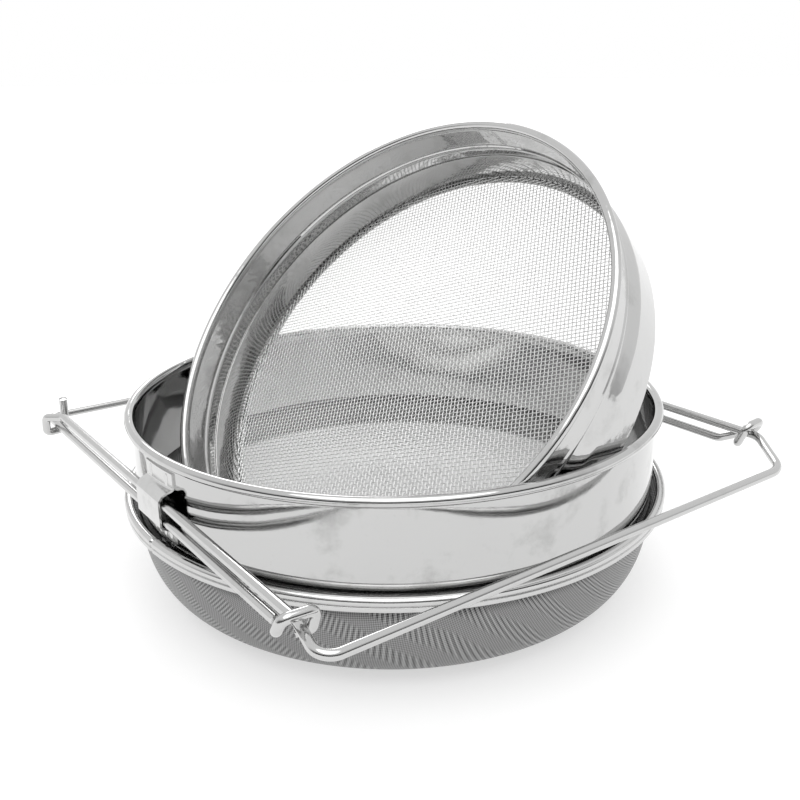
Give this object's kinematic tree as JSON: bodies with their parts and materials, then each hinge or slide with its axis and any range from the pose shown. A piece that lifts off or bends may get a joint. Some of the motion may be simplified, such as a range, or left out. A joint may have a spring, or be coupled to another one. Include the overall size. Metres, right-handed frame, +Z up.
{
  "type": "double sieve strainer",
  "caption": "Round two-stage honey strainer: a coarse sieve leans inside a drum with a fine mesh bowl, and two wire handles telescope through straps on the drum.",
  "frame": {"origin": "centre of the bowl's flat floor, on the plane that it stands on", "axes": "+Z up along the drum's axis; +X along the handles' bars; -Y towards the front handle's bar"},
  "size_m": [0.258, 0.2732, 0.1994],
  "materials": {
    "polished_sheet": "mirror polished stainless steel",
    "sieve_sheet": "polished stainless steel",
    "ring_sheet": "polished stainless steel",
    "strap_sheet": "bright rolled stainless steel",
    "handle_wire": "drawn and polished stainless wire",
    "core_wire": "drawn stainless wire",
    "fine_mesh": "fine woven stainless mesh",
    "coarse_mesh": "coarse woven stainless mesh"
  },
  "bodies": {
    "strainer": {"lower_drum": "polished_sheet", "lower_rim_wire": "core_wire", "left_bracket": "strap_sheet", "right_bracket": "strap_sheet", "fine_mesh_bowl": "fine_mesh", "bowl_ring": "ring_sheet", "bowl_ring_wire": "core_wire", "bowl_hangers": "strap_sheet"},
    "front_handle": {"front_handle": "handle_wire"},
    "rear_handle": {"rear_handle": "handle_wire"},
    "coarse_sieve": {"coarse_drum": "sieve_sheet", "coarse_rim_wire": "core_wire", "coarse_mesh": "coarse_mesh", "coarse_mesh_band": "sieve_sheet"}
  },
  "joints": [
    {"name": "front_handle_slide", "type": "slide", "parent": "strainer", "child": "front_handle", "axis": [0, -1, 0], "range_m": [0, 0.09]},
    {"name": "rear_handle_slide", "type": "slide", "parent": "strainer", "child": "rear_handle", "axis": [0, 1, 0], "range_m": [0, 0.068]},
    {"name": "sieve_lift", "type": "slide", "parent": "strainer", "child": "coarse_sieve", "axis": [0, 0, 1], "range_m": [0, 0.14]}
  ]
}
